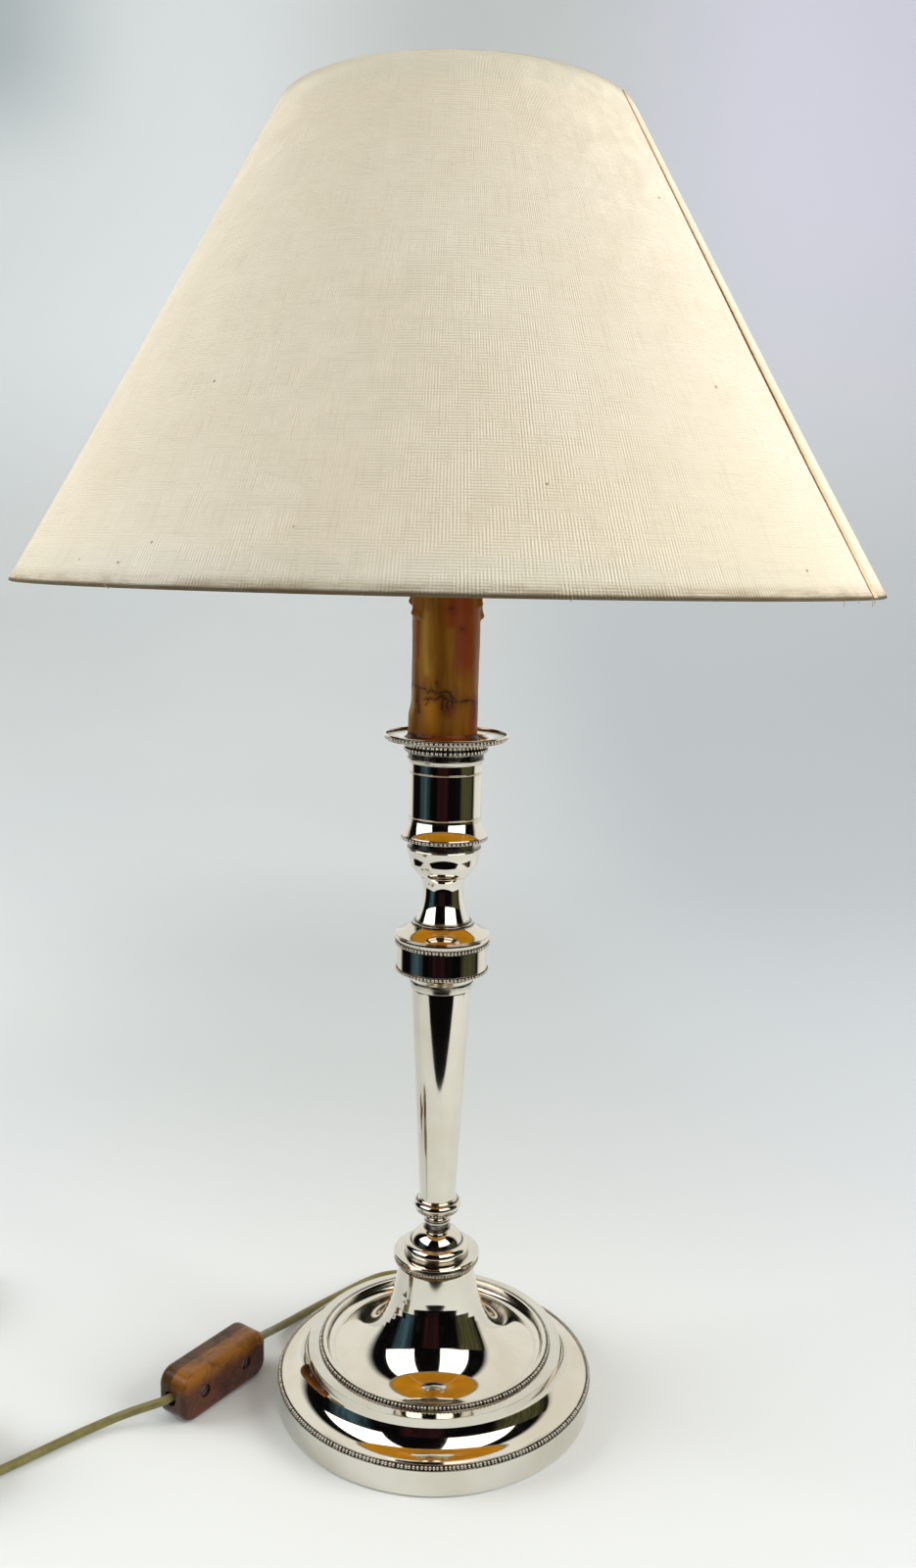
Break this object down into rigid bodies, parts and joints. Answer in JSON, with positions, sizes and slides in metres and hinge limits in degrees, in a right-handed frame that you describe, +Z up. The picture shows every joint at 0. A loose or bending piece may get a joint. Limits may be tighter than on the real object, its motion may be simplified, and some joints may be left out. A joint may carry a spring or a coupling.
{
  "type": "candlestick table lamp",
  "caption": "Silver-plated candlestick lamp with beaded rings, a mock candle, a cream linen cone shade and a cord with an in-line switch and plug.",
  "frame": {"origin": "centre of the round foot, on the table", "axes": "+Z up along the stem, -Y towards the viewer of the picture, +X to the right in the picture"},
  "size_m": [0.4303, 0.34, 0.5378],
  "materials": {
    "silver": "polished silver plate, tarnished dark in the grooves",
    "iron": "rough casting",
    "felt": "green felt",
    "steel": "plain steel",
    "brass": "plain brass",
    "black_plastic": "black moulding",
    "wax": "amber-brown wax coat on a card tube, semi-gloss",
    "bakelite": "dark brown moulding",
    "bulb_glass": "clear glass",
    "filament": "tungsten wire",
    "linen": "cream linen on a stiff lining",
    "white_wire": "white coated wire",
    "cord": "olive-gold PVC flex",
    "amber": "amber-brown mottled moulding",
    "dark_amber": "dark red-brown moulding"
  },
  "bodies": {
    "stand": {"base_shell": "silver", "outer_bead_ring": "silver", "inner_bead_ring": "silver", "collar": "silver", "collar_bead_ring": "silver", "lower_vase": "silver", "knop_bead_ring": "silver", "column": "silver", "drum": "silver", "drum_lower_beads": "silver", "drum_upper_beads": "silver", "waist": "silver", "bowl": "silver", "candle_socket": "silver", "socket_beads": "silver", "drip_pan": "silver", "pan_lower_beads": "silver", "pan_rim_beads": "silver", "base_weight": "iron", "felt_pad": "felt", "bottom_plate": "steel", "clamp_washer": "steel", "switch_screws": "steel", "rocker_pin": "steel", "central_tube": "brass", "clamp_nut": "brass", "thread_shell": "brass", "centre_contact": "brass", "terminal_screws": "brass", "switch_contacts": "brass", "plug_pins": "brass", "cable_bush": "black_plastic", "cord_tie": "black_plastic", "candle_sleeve": "wax", "holder_cap": "bakelite", "holder_skirt": "bakelite", "holder_insert": "bakelite", "inner_cable": "cord", "cord_lead": "cord", "cord_run": "cord", "cord_coil": "cord", "cord_tail": "cord", "switch_front": "amber", "plug_body": "amber", "plug_sleeve": "amber", "switch_back": "dark_amber"},
    "shade": {"shade_cover": "linen", "bottom_hem": "linen", "top_hem": "linen", "bottom_wire_ring": "white_wire", "top_wire_ring": "white_wire", "shade_fitter": "white_wire"},
    "ring_nut": {"shade_ring_nut": "bakelite"},
    "bulb": {"bulb_glass": "bulb_glass", "bulb_mount": "bulb_glass", "bulb_cap": "steel", "bulb_insulator": "black_plastic", "bulb_contact": "brass", "filament": "filament"},
    "rocker": {"switch_rocker": "dark_amber"}
  },
  "joints": [
    {"name": "shade_turn", "type": "hinge", "parent": "stand", "child": "shade", "pos_m": [0, 0, 0.3953], "axis": [0, 0, 1], "continuous": true},
    {"name": "ring_nut_turn", "type": "hinge", "parent": "stand", "child": "ring_nut", "pos_m": [0, 0, 0.3968], "axis": [0, 0, 1], "continuous": true},
    {"name": "bulb_turn", "type": "hinge", "parent": "stand", "child": "bulb", "pos_m": [0, 0, 0.3888], "axis": [0, 0, 1], "continuous": true},
    {"name": "rocker_tip", "type": "hinge", "parent": "stand", "child": "rocker", "pos_m": [-0.10261, -0.00322, 0.011], "axis": [0, 0, 1], "range_deg": [-16, 0]}
  ]
}
